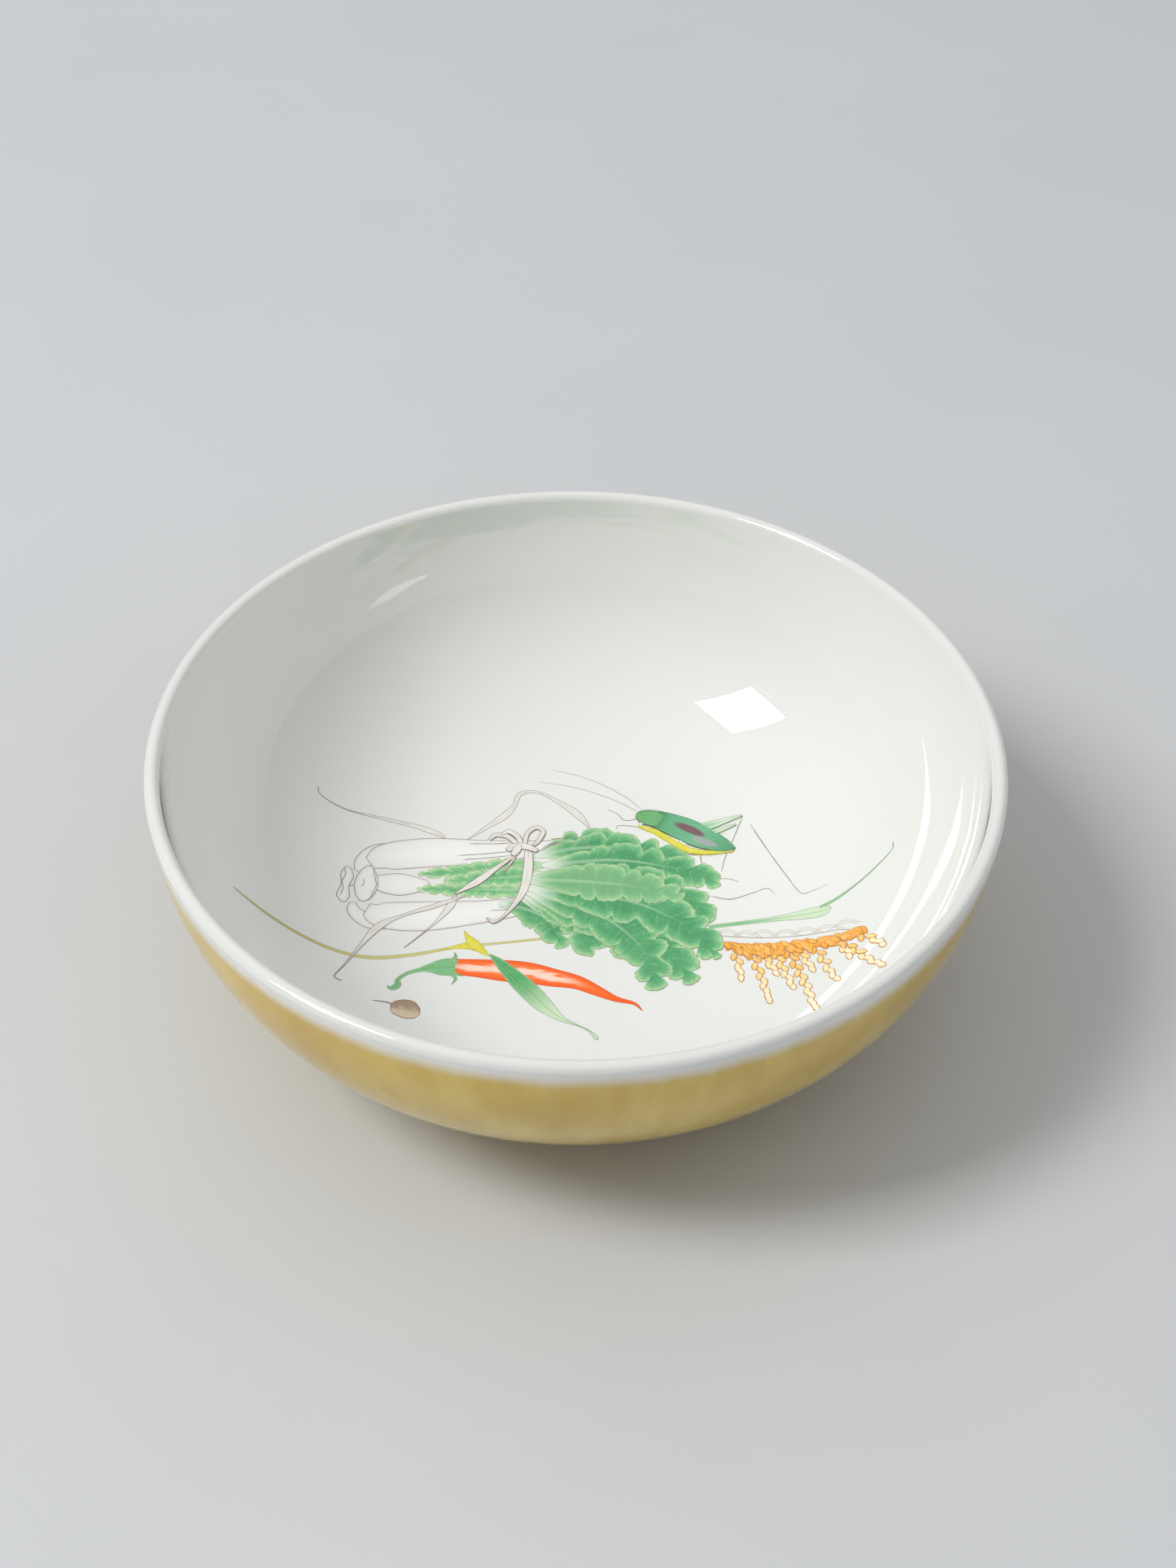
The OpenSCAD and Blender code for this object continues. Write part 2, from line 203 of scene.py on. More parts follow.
class Marks:
    """Collects raised brush marks, each a closed film of enamel, into one mesh.

    Every point carries two attributes for its colour. place is the distance along the mark, the distance
    across it and the distance from its edge. tint is the share of its length, the mark's own tone and the
    side, from -1 on the right to 1 on the left.
    """

    def __init__(self):
        self.verts, self.faces, self.place, self.tint = [], [], [], []
        self.count = 0

    def strip(self, spine, left, right, height, columns, layer, tone, step, rise):
        """A strip along the spine. left and right give its half widths for a share of its length."""
        line, along = even(np.asarray(spine, float), step)
        share = along / along[-1]
        half = [np.maximum(width(share), LEAST) for width in (left, right)]
        sides = [line + side_of(line) * half[0][:, None], line - side_of(line) * half[1][:, None]]
        to_end = np.minimum(along, along[-1] - along) + LEAST
        self._film(sides, line, along, share, to_end, height, columns, layer, tone, rise)

    def leaf(self, spine, left, right, wave, depth, fine, columns, layer, tone, phase):
        """A frilled leaf: lobes of width wave stand out by depth all round it, with fine scallops on them."""
        line = smooth(spine)
        s = run_of(line)
        evenly = np.linspace(0, 1, LEAF_ROWS)
        share = SHORT_OF_TIP * np.sin(evenly * np.pi / 2)  # rows crowd together towards the tip
        centre = read_off(share * s[-1], s, line)
        normal = side_of(read_off(np.linspace(0, s[-1], LEAF_ROWS), s, line))
        normal = read_off(share, evenly, normal)
        shape = (1 - share**2.6) ** 0.5 * np.clip(0.05 + share / 0.42, 0, 1) ** 0.8
        grown = np.clip((share - 0.12) / 0.35, 0, 1)  # the frills start a little way along the leaf
        outlines, lengths = [], []
        for sign, half in ((1, left), (-1, right)):
            edge = centre + sign * normal * (half * shape)[:, None]
            run = run_of(edge)
            out = side_of(edge) * sign
            turn = np.pi * run / wave + 0.55 * np.sin(1.1 * run + 3 * phase) + phase * sign
            lobe = (1 - (1 - np.abs(np.sin(turn))) ** 2.2) - 0.7
            scallop = np.abs(np.sin(turn * 3.6)) ** 0.8 - 0.6
            lean = np.sin(2 * turn) * 0.08 * depth
            calm = np.clip((run[-1] - run) / (0.35 * wave), 0, 1)  # both sides meet at the tip
            rise = (depth * lobe * calm + fine * scallop * calm) * grown
            along_edge = np.column_stack([out[:, 1], -out[:, 0]])
            outlines.append(edge + out * rise[:, None] + along_edge * (lean * grown * calm)[:, None])
            lengths.append(run)
        mean = (lengths[0] + lengths[1]) / 2
        rows = max(int(mean[-1] / LEAF_STEP), 20)
        index = np.arange(LEAF_ROWS)
        at = np.interp(np.linspace(0, mean[-1], rows), mean, index)
        sides = [read_off(at, index, outline) for outline in outlines]
        core = read_off(at, index, read_off(share * 0.93 * s[-1], s, line))
        shares = np.interp(at, index, share)
        run = np.interp(at, index, mean)
        self._film(sides, core, run, shares, run + LEAST, FILM, columns, layer, tone, 0.3)

    def _film(self, sides, line, along, share, to_end, height, columns, layer, tone, rise):
        """A closed film of enamel: rows run from the left side over the line to the right side."""
        v = np.linspace(-1, 1, columns + 1)
        reach = [np.linalg.norm(side - line, axis=1) for side in sides]
        width = np.where(v[None, :] > 0, reach[0][:, None], reach[1][:, None])
        left, right = [(side - line)[:, None, :] for side in sides]
        toward = np.where(v[None, :, None] > 0, left, right)
        xy = line[:, None, :] + toward * np.abs(v)[None, :, None]
        to_side = (1 - np.abs(v))[None, :] * width
        edge = np.minimum(to_side, to_end[:, None] + 0 * to_side)
        dome = 1 - (1 - np.clip(edge / rise, 0, 1)) ** 2
        top = lay(xy, layer + height * dome + LIFT)
        bottom = lay(xy, np.full(xy.shape[:2], -SUNK))
        rows, cols = xy.shape[:2]
        index = np.arange(rows * cols).reshape(rows, cols)
        self._grid(self.count + index, flip=False)
        self._grid(self.count + rows * cols + index, flip=True)
        rim = np.concatenate([index[:, 0], index[-1, 1:], index[-2::-1, -1], index[0, -2:0:-1]]) + self.count
        for a, b in zip(rim, np.roll(rim, -1)):
            self.faces.append((a, a + rows * cols, b + rows * cols, b))
        flat = np.stack([along[:, None] + 0 * to_side, width * v, edge], -1).reshape(-1, 3)
        tint = np.stack([share[:, None] + 0 * to_side, np.full(xy.shape[:2], tone), 0 * to_side + v], -1)
        tint = tint.reshape(-1, 3)
        self.verts += [top.reshape(-1, 3), bottom.reshape(-1, 3)]
        self.place += [flat, flat]
        self.tint += [tint, tint]
        self.count += 2 * rows * cols

    def ribbon(self, points, height, layer, columns=10, tone=0.5, rise=0.2):
        """A strip through points of (x, y, half width)."""
        p = smooth(points)
        s = run_of(p[:, :2])
        s /= s[-1]
        half = lambda share: np.interp(share, s, p[:, 2])
        self.strip(p[:, :2], half, half, height, columns, layer, tone, 0.12, rise)

    def _grid(self, index, flip):
        a, b, c, d = index[:-1, :-1], index[1:, :-1], index[1:, 1:], index[:-1, 1:]
        quads = np.stack([a, b, c, d] if not flip else [a, d, c, b], -1).reshape(-1, 4)
        self.faces += [tuple(int(i) for i in q) for q in quads]

    def line(self, points, width, end_width=None, layer=0.0, tone=0.5):
        """A thin drawn line through the points, tapering at both ends."""
        first, last = width / 2, (width if end_width is None else end_width) / 2

        def half(share):
            taper = np.clip(np.sin(np.pi * np.clip(share, 0.04, 0.96)) * 4, 0, 1)
            return (first + (last - first) * share) * taper

        spine = smooth(points, 10) if len(points) > 2 else np.asarray(points, float)
        self.strip(spine, half, half, LINE, 4, layer, tone, 0.2, 0.08)

    def build(self, name, material, *nodes, slot):
        faces = [tuple(int(i) for i in f) for f in self.faces]
        attributes = {"place": np.vstack(self.place), "tint": np.vstack(self.tint)}
        piece = make_object(name, np.vstack(self.verts), faces, material, attributes)
        return finish_piece(piece, slot, *nodes)


def finish_piece(piece, slot, *nodes):
    """Says what the piece rides on and hides the CAD nodes that it stands for. The slot argument is not used.
    """
    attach(piece, "root")
    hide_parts(*nodes)
    return piece


# ---------------------------------------------------------------- materials
def rgb(red, green, blue):
    """A linear colour from screen values of 0 to 255."""
    c = np.array([red, green, blue]) / 255
    linear = np.where(c <= 0.04045, c / 12.92, ((c + 0.055) / 1.055) ** 2.4)
    return (*[float(v) for v in linear], 1.0)


class Value:
    """A socket that can be used in arithmetic, so that node maths reads as a formula."""

    def __init__(self, shader, socket):
        self.shader, self.socket = shader, socket

    def __add__(self, other):
        return self.shader.math("ADD", self, other)

    def __sub__(self, other):
        return self.shader.math("SUBTRACT", self, other)

    def __mul__(self, other):
        return self.shader.math("MULTIPLY", self, other)

    def abs(self):
        return self.shader.math("ABSOLUTE", self)

    def sin(self):
        return self.shader.math("SINE", self)

    def power(self, other):
        return self.shader.math("POWER", self, other)


# The Mix node has sockets for numbers, vectors and colours; these are the ones for colours
MIX_A, MIX_B, MIX_RESULT = 6, 7, 2


class Shader:
    """A material with one Principled shader and short calls for the nodes that feed it."""

    def __init__(self, name, roughness, ior, **settings):
        self.material = bpy.data.materials.new(name)
        self.material.use_nodes = True
        self.tree = self.material.node_tree
        self.surface = self.tree.nodes["Principled BSDF"]
        self.surface.inputs["Roughness"].default_value = roughness
        self.surface.inputs["IOR"].default_value = ior
        for key, value in settings.items():
            self.surface.inputs[key.replace("_", " ")].default_value = value

    def put(self, target, value):
        if isinstance(value, Value):
            self.tree.links.new(value.socket, target)
        else:
            target.default_value = value

    def math(self, operation, a, b=0.0):
        node = self.tree.nodes.new("ShaderNodeMath")
        node.operation = operation
        self.put(node.inputs[0], a)
        self.put(node.inputs[1], b)
        return Value(self, node.outputs[0])

    def attribute(self, name):
        """The three numbers of a mesh attribute, in the order that Marks gives them."""
        node = self.tree.nodes.new("ShaderNodeAttribute")
        node.attribute_name = name
        split = self.tree.nodes.new("ShaderNodeSeparateXYZ")
        self.tree.links.new(node.outputs["Vector"], split.inputs[0])
        return [Value(self, out) for out in split.outputs]

    def position(self):
        node = self.tree.nodes.new("ShaderNodeTexCoord")
        return Value(self, node.outputs["Object"])

    def height(self):
        split = self.tree.nodes.new("ShaderNodeSeparateXYZ")
        self.put(split.inputs[0], self.position())
        return Value(self, split.outputs[2])

    def stretched(self, scale):
        """The position with each axis scaled, so that a texture comes out longer along the small ones."""
        node = self.tree.nodes.new("ShaderNodeMapping")
        self.put(node.inputs["Vector"], self.position())
        node.inputs["Scale"].default_value = scale
        return Value(self, node.outputs[0])

    def noise(self, size_mm, detail, vector=None, distortion=0.0):
        """Noise whose lumps are about size_mm across."""
        node = self.tree.nodes.new("ShaderNodeTexNoise")
        self.put(node.inputs["Vector"], vector or self.position())
        node.inputs["Scale"].default_value = 1 / (size_mm * MM)
        node.inputs["Detail"].default_value = detail
        node.inputs["Distortion"].default_value = distortion
        return Value(self, node.outputs["Fac"])

    def specks(self, size_mm):
        """Distance to scattered points, about size_mm apart."""
        node = self.tree.nodes.new("ShaderNodeTexVoronoi")
        self.put(node.inputs["Vector"], self.position())
        node.inputs["Scale"].default_value = 1 / (size_mm * MM)
        return Value(self, node.outputs["Distance"])

    def ramp(self, value, *stops):
        """Colours along a value: each stop is (value, colour)."""
        low, high = stops[0][0], stops[-1][0]
        share = self.math("DIVIDE", value - low, high - low)
        node = self.tree.nodes.new("ShaderNodeValToRGB")
        self.put(node.inputs[0], share)
        points = node.color_ramp.elements
        while len(points) < len(stops):
            points.new(0.5)
        for point, (at, colour) in zip(points, stops):
            point.position = (at - low) / (high - low)
            point.color = colour
        return Value(self, node.outputs[0])

    def mix(self, share, a, b):
        node = self.tree.nodes.new("ShaderNodeMix")
        node.data_type = "RGBA"
        self.put(node.inputs["Factor"], share)
        self.put(node.inputs[MIX_A], a)
        self.put(node.inputs[MIX_B], b)
        return Value(self, node.outputs[MIX_RESULT])

    def step(self, value, low, high):
        """0 at low, 1 at high, smooth between. low may be the larger one, for a value that falls."""
        node = self.tree.nodes.new("ShaderNodeMapRange")
        node.interpolation_type = "SMOOTHSTEP"
        self.put(node.inputs["Value"], value)
        node.inputs["From Min"].default_value = low
        node.inputs["From Max"].default_value = high
        return Value(self, node.outputs[0])

    def bump(self, value, depth_mm, strength):
        node = self.tree.nodes.new("ShaderNodeBump")
        node.inputs["Strength"].default_value = strength
        node.inputs["Distance"].default_value = depth_mm * MM
        self.put(node.inputs["Height"], value)
        self.tree.links.new(node.outputs[0], self.surface.inputs["Normal"])

    def colour(self, value):
        self.put(self.surface.inputs["Base Color"], value)
        return self.material


WHITE_GLAZE = rgb(238, 239, 236)
COOL_GLAZE = rgb(232, 234, 230)
SEPIA = rgb(150, 134, 125)
WET_GLOSS = 0.015  # roughness of the clear glaze, and of the coat that makes it mirror more strongly
ENAMEL_IOR = 1.55


def clear_glaze():
    s = Shader("clear_glaze", WET_GLOSS, 1.54, Coat_Weight=1.0, Coat_Roughness=WET_GLOSS)
    cloud = s.noise(22, 2)
    colour = s.mix(cloud, WHITE_GLAZE, COOL_GLAZE)
    speck = s.step(s.specks(5.5), 0.025, 0.012) * s.step(s.noise(9, 1), 0.6, 0.64)
    s.bump(s.noise(5, 2) + s.noise(0.6, 1) * 0.03, 0.01, 0.6)
    return s.colour(s.mix(speck * 0.6, colour, rgb(188, 184, 174)))


def yellow_glaze():
    s = Shader("yellow_glaze", 0.06, 1.52)
    streak = s.noise(3.5, 4, s.stretched((1, 1, 0.35)))
    cloud = s.noise(11, 3)
    yellow = s.mix(s.step(streak, 0.3, 0.7), rgb(216, 184, 88), rgb(228, 202, 110))
    yellow = s.mix(s.step(cloud, 0.35, 0.75), yellow, rgb(206, 172, 76))
    fade = s.step(s.height() + (streak - 0.5) * 0.0008, (YELLOW_Z - 2.0) * MM, (YELLOW_Z + 0.3) * MM)
    pits = s.step(s.specks(2.6), 0.045, 0.025)
    s.bump(s.noise(4, 3) + pits * -0.6, 0.02, 0.6)
    return s.colour(s.mix(fade, s.mix(pits, yellow, rgb(196, 150, 62)), WHITE_GLAZE))


def bare_porcelain():
    s = Shader("bare_porcelain", 0.8, 1.5)
    grain = s.noise(0.25, 4)
    colour = s.mix(s.noise(6, 3), rgb(226, 216, 198), rgb(212, 200, 180))
    iron = s.step(s.specks(1.8), 0.06, 0.03)
    worn = s.step(s.height() + (grain - 0.5) * 0.0004, 0.0004, 0.0)
    colour = s.mix(worn, colour, rgb(176, 166, 150))
    s.bump(grain, 0.05, 0.8)
    return s.colour(s.mix(iron, colour, rgb(142, 104, 76)))


def enamel(name, *edge_stops, light=None, amount=0.0):
    """Enamel whose colour changes from its drawn edge inward. Each stop is (distance from the edge, colour).

    Where the enamel is thinner, in small streaks and pools, the light colour shows through by amount.
    """
    s = Shader(name, 0.12, ENAMEL_IOR)
    edge = s.attribute("place")[2]
    colour = s.ramp(edge + (s.noise(0.5, 3) - 0.5) * 0.12, *edge_stops)
    if light:
        pool = s.step(s.noise(0.7, 4, distortion=1.2), 0.42, 0.72) * amount
        colour = s.mix(pool, colour, light)
    s.bump(s.noise(0.5, 3), 0.02, 0.5)
    return s, colour


def leaf_green(name, deep, mid, pale, white_end):
    """Leaf enamel: pale frilled border, deep green middle, fine pale veins and swirling brush lines."""
    s = Shader(name, 0.12, ENAMEL_IOR)
    along, across, edge = s.attribute("place")
    share, tone = s.attribute("tint")[:2]
    swirl = s.noise(1.8, 3, distortion=2.5)
    reach = edge + (swirl - 0.5) * 1.3
    between = tuple((a + b) / 2 for a, b in zip(pale, mid))
    colour = s.ramp(reach, (0.0, pale), (0.12, pale), (0.35, between), (0.9, mid), (1.6, deep), (4.0, deep))
    blot = s.step(s.noise(4.5, 2), 0.35, 0.65)
    colour = s.mix(blot * s.step(edge, 0.5, 1.4) * 0.45, colour, mid)
    rib = s.step(across.abs() - (share * -0.3 + 0.34), 0.08, -0.08)
    colour = s.mix(rib * s.step(share, 0.9, 0.5) * 0.4, colour, rgb(206, 230, 200))
    vein = s.step(((along + (swirl - 0.5) * 1.2) * (2 * np.pi / 1.7)).sin(), 0.93, 1.0)
    colour = s.mix(vein * s.step(edge, 0.25, 0.9) * 0.24, colour, pale)
    brush = (s.noise(1.5, 2, distortion=3.5) * 60.0).sin()
    curls = s.step(brush, 0.7, 0.95)
    colour = s.mix(curls * 0.24, colour, pale)
    folds = s.step(brush, -0.75, -0.96) * s.step(edge, 0.4, 0.9)
    colour = s.mix(folds * 0.4, colour, rgb(44, 132, 82))
    colour = s.mix(s.step(share, white_end, 0.0), colour, rgb(232, 240, 228))
    colour = s.mix(s.step(tone, 0.5, 1.0) * 0.5, colour, pale)
    colour = s.mix(s.step(edge, 0.11, 0.05) * 0.7, colour, rgb(138, 150, 108))
    s.bump(curls * 0.5 + vein * 0.6 + swirl * 0.3, 0.02, 0.5)
    return s.colour(colour)


def stalk_white():
    s = Shader("stalk_white", 0.1, 1.52)
    across, edge = s.attribute("place")[1:]
    blurred = edge + (s.noise(1.2, 3) - 0.5) * 0.3
    shade = s.ramp(blurred, (0.0, rgb(228, 226, 220)), (0.5, rgb(240, 241, 237)), (2.0, rgb(244, 246, 243)))
    ridge = s.step((across * 9.0).sin(), 0.93, 0.99) * 0.1
    colour = s.mix(ridge, shade, rgb(190, 186, 176))
    s.bump(s.noise(0.8, 2), 0.01, 0.4)
    return s.colour(s.mix(s.step(edge, 0.13, 0.06), colour, SEPIA))


def straw():
    s = Shader("straw_enamel", 0.16, 1.5)
    across, edge = s.attribute("place")[1:]
    colour = s.mix(s.noise(1.4, 3), rgb(240, 238, 232), rgb(228, 224, 216))
    fold = s.step(across.abs(), 0.05, 0.015) * s.step(s.noise(1.8, 2), 0.45, 0.6) * 0.5
    colour = s.mix(fold, colour, SEPIA)
    s.bump(s.noise(0.4, 2), 0.01, 0.5)
    return s.colour(s.mix(s.step(edge, 0.1, 0.05), colour, SEPIA))


def pod_red():
    """Chilli: orange red, darkest along its edges, with a pale gleam down the middle of its thick half."""
    s = Shader("chilli_red", 0.1, ENAMEL_IOR)
    edge = s.attribute("place")[2]
    share, _, side = s.attribute("tint")
    blot = s.noise(0.8, 4, distortion=1.0)
    border = [(0.0, rgb(244, 88, 8)), (0.3, rgb(255, 98, 8))]
    middle = [(0.8, rgb(255, 120, 40)), (1.5, rgb(255, 150, 92))]
    colour = s.ramp(edge + (blot - 0.5) * 0.25, *border, *middle)
    streaks = s.noise(0.7, 3, s.stretched((0.35, 1.3, 1)))
    wander = side + (streaks - 0.5) * 1.1
    gleam = s.step(wander.abs(), 0.5, 0.12) * s.step((share - 0.3).abs(), 0.4, 0.2)
    colour = s.mix(gleam * 0.92, colour, rgb(255, 226, 208))
    s.bump(blot, 0.02, 0.5)
    return s.colour(s.mix(s.step(edge, 0.1, 0.04), colour, rgb(206, 84, 40)))


def grain_ochre():
    s = Shader("grain_ochre", 0.12, ENAMEL_IOR)
    edge = s.attribute("place")[2]
    tone = s.attribute("tint")[1]
    ripe = s.ramp(tone, (0.0, rgb(250, 240, 206)), (0.5, rgb(248, 216, 140)), (1.0, rgb(246, 158, 18)))
    colour = s.mix(s.step(edge, 0.2, 0.32) * 0.28, ripe, rgb(255, 228, 150))
    s.bump(s.noise(0.3, 2), 0.01, 0.5)
    return s.colour(s.mix(s.step(edge, 0.13, 0.07), colour, rgb(190, 128, 56)))


def insect_green():
    """Blue-green wings with long veins, a darker shoulder and a violet patch."""
    s = Shader("insect_green", 0.1, ENAMEL_IOR)
    along, across, edge = s.attribute("place")
    share, tone, side = s.attribute("tint")
    shoulder = [(0.0, rgb(84, 160, 96)), (0.15, rgb(120, 188, 122)), (0.19, rgb(62, 132, 88))]
    rest = [(0.3, rgb(96, 170, 124)), (0.65, rgb(112, 182, 140)), (1.0, rgb(78, 154, 108))]
    colour = s.ramp(share, *shoulder, *rest)
    colour = s.mix(s.step((across * 13.0 + along * 1.6).sin(), 0.9, 0.99) * 0.4, colour, rgb(160, 210, 168))
    wing = s.step(tone, 0.8, 0.6)
    patch = s.step(((share - 0.52) * 5.0).power(2.0) + ((side - 0.15) * 2.6).power(2.0), 0.9, 0.35) * wing
    colour = s.mix(patch * 0.85, colour, rgb(126, 56, 92))
    colour = s.mix(s.step(tone, 0.8, 0.9) * 0.75, colour, rgb(110, 178, 106))
    rear = s.step(((share - 0.72) * 6.5).power(2.0) + ((side + 0.35) * 2.4).power(2.0), 0.9, 0.4) * wing
    colour = s.mix(rear * 0.7, colour, rgb(176, 168, 176))
    s.bump(s.noise(0.4, 3), 0.02, 0.5)
    return s.colour(s.mix(s.step(edge, 0.12, 0.05), colour, rgb(86, 110, 84)))


def bean_brown():
    s = Shader("bean_brown", 0.1, ENAMEL_IOR)
    edge = s.attribute("place")[2]
    side = s.attribute("tint")[2]
    lit = s.step(side + (s.noise(0.8, 3) - 0.5) * 1.2, 0.5, -0.6)
    colour = s.mix(lit, rgb(166, 140, 116), rgb(216, 198, 170))
    s.bump(s.noise(0.4, 2), 0.01, 0.5)
    return s.colour(s.mix(s.step(edge, 0.2, 0.05), colour, rgb(142, 114, 92)))


def drawn_line():
    s = Shader("sepia_line", 0.25, 1.5)
    faint = s.step(s.attribute("tint")[1], 0.6, 0.9) * 0.75
    s.bump(s.noise(0.3, 2), 0.005, 0.4)
    colour = s.mix(s.step(s.noise(1.1, 3), 0.4, 0.7), rgb(150, 136, 127), rgb(180, 168, 160))
    return s.colour(s.mix(faint, colour, rgb(206, 204, 184)))


def blended_green(name, deep, pale, tip):
    """A narrow leaf: pale along its edges and towards its end, with fine lines along it."""
    s, colour = enamel(name, (0.0, pale), (0.25, deep), (1.5, deep), light=pale, amount=0.25)
    across, edge = s.attribute("place")[1:]
    share = s.attribute("tint")[0]
    colour = s.mix(s.step(share, 0.25, 0.7), colour, tip)
    lines = s.step((across * 14.0).sin(), 0.8, 0.98) * 0.25
    colour = s.mix(lines, colour, pale)
    colour = s.mix(s.step(across.abs(), 0.08, 0.03) * 0.45, colour, rgb(104, 136, 96))
    return s.colour(s.mix(s.step(edge, 0.1, 0.04) * 0.8, colour, rgb(124, 146, 110)))


def stem_olive():
    olives = [(0.0, rgb(172, 164, 104)), (0.12, rgb(210, 204, 130)), (1.0, rgb(220, 214, 142))]
    s, colour = enamel("stem_olive", *olives)
    share = s.attribute("tint")[0]
    return s.colour(s.mix(s.step(share, 0.45, 0.05) * 0.55, colour, rgb(176, 168, 124)))


def sheath_yellow():
    yellows = [(0.0, rgb(170, 160, 60)), (0.13, rgb(222, 214, 62)), (1.5, rgb(234, 226, 84))]
    s, colour = enamel("sheath_yellow", *yellows, light=rgb(240, 236, 140), amount=0.4)
    return s.colour(colour)


# ---------------------------------------------------------------- the bowl
def wall_outside(inset, top_z):
    """The outside curve, drawn in by inset, from top_z down to the foot ring."""
    radius = WALL_CURVE - inset
    start = -np.degrees(np.arcsin((RIM_Z - top_z) / radius))
    end = -np.degrees(np.arccos((FOOT_R - WALL_R) / radius))
    return arc((WALL_R, RIM_Z), radius, start, end, 60)


def wall_inside(grow):
    """The inside from the lip to the axis, moved into the wall by grow."""
    turn = -90 + np.degrees(BLEND)
    wall = arc((INNER_R, RIM_Z), INNER_CURVE + grow, 0, turn, 48)
    floor = arc((0, FLOOR_TOP), FLOOR_CURVE + grow, turn, -90, 16)
    floor[-1, 0] = 0
    return np.vstack([wall, floor[1:]])


def lip(inset):
    """Over the lip from outside to inside, drawn in by inset."""
    return arc((RIM_R - LIP_R, RIM_Z), LIP_R - inset, 0, 180, 20)


def recess_line(inset):
    """The roof of the recess, from the axis out and down to the ring, moved into the body by inset."""
    rounded = arc((RECESS_R - CORNER_R, RECESS - CORNER_R), CORNER_R + inset, 90, 0, 8)
    return np.vstack([[(0, RECESS + inset)], rounded])


def build_body():
    inner = wall_inside(GLAZE + GAP)[::-1]
    outer = wall_outside(GLAZE + GAP, RIM_Z)
    ring_out = arc((FOOT_R - EDGE_R, EDGE_R), EDGE_R, 0, -90, 6)
    ring_in = arc((RECESS_R + EDGE_R, EDGE_R), EDGE_R, -90, -180, 6)
    roof = recess_line(GLAZE + GAP)[::-1]
    profile = np.vstack([inner, lip(GLAZE + GAP)[::-1][1:], outer[1:], ring_out, ring_in, roof])
    return finish_piece(lathe("bowl_body", profile, bare_porcelain()), "bare_porcelain", "porcelain_body")


def build_inner_glaze(material):
    band_turn = -np.degrees(np.arcsin(WHITE_BAND / WALL_CURVE))
    band = arc((WALL_R, RIM_Z), WALL_CURVE, band_turn, 0, 4)
    back = arc((WALL_R, RIM_Z), WALL_CURVE - GLAZE, 0, band_turn, 4)
    top = np.vstack([band, lip(0)[1:], wall_inside(0)[1:]])
    under = np.vstack([wall_inside(GLAZE)[::-1], lip(GLAZE)[::-1][1:], back[1:]])
    piece = lathe("bowl_inner_glaze", np.vstack([top, under]), material)
    return finish_piece(piece, "clear_glaze", "inner_glaze")


def build_yellow_glaze():
    outer = wall_outside(0, YELLOW_Z)
    inner = wall_outside(GLAZE, YELLOW_Z)[::-1]
    piece = lathe("bowl_yellow_glaze", np.vstack([outer, inner]), yellow_glaze())
    return finish_piece(piece, "yellow_glaze", "yellow_glaze")


def build_foot_glaze(material):
    profile = np.vstack([recess_line(0), recess_line(GLAZE)[::-1]])
    return finish_piece(lathe("bowl_foot_glaze", profile, material), "clear_glaze", "foot_glaze")


# ---------------------------------------------------------------- the painting, drawn in plan from above
def ribbons(strands, first_layer, columns):
    """Several ribbons in one piece, each a layer above the one before."""
    marks = Marks()
    for i, points in enumerate(strands):
        marks.ribbon(points, FILM, (first_layer + i) * STEP_UP, columns)
    return marks


# Each cabbage leaf: its spine from the tie outward, then its width left and right of it
OUTER_LEAVES = [
    ([(-5, 9.4), (-1, 11), (2, 12), (4.6, 12.8)], 1.7, 1.4),
    ([(-5, 9), (0, 10.4), (5, 10.6), (10, 9.6), (13, 8.2)], 2.2, 2.4),
    ([(-4, 7.6), (4, 8.6), (10, 7.6), (14, 6.2), (16.6, 4.4)], 2.6, 3.0),
    ([(-8.6, 1.4), (-5, 0.4), (-2.6, -1.6), (-1.6, -5.4)], 2.2, 2.2),
    ([(-6.4, 2.6), (-1, 0.8), (1.4, -2), (1.8, -6.6)], 3.0, 3.0),
    ([(-6, 2.8), (1, 0.6), (5, -2.6), (5.8, -6.8)], 3.2, 3.2),
    ([(-5.6, 6), (4, 5.4), (10, 4.2), (13.5, 1.8), (15.2, -1.5)], 2.6, 3.0),
    ([(-5.8, 3.6), (3, 0.6), (8.4, -3.6), (11.4, -7.6), (12.8, -11)], 3.4, 3.2),
    ([(-5.8, 3.4), (2, 0.4), (6.4, -3.6), (8.4, -7.6), (8.8, -11.8)], 3.4, 3.0),
    ([(-5.8, 4), (5, 2.4), (10.6, -0.4), (13.8, -3.4), (15.8, -7.2)], 3.2, 3.4),
]
MIDDLE_LEAF = ([(-5.9, 5), (-2, 5.2), (4, 4.8), (9, 3.8), (12.4, 2.6)], 3.0, 2.8)  # lies over the others
HEART_LEAVES = [
    ([(-2, 7.6), (-7, 7.4), (-12, 6.3), (-18, 5.2)], 1.1, 1.3),
    ([(-2, 3.8), (-7, 3.6), (-12, 3.4), (-18, 3)], 1.3, 1.0),
    ([(-2, 6), (-6, 5.8), (-10, 5.2), (-15, 4.4)], 1.5, 1.6),
]


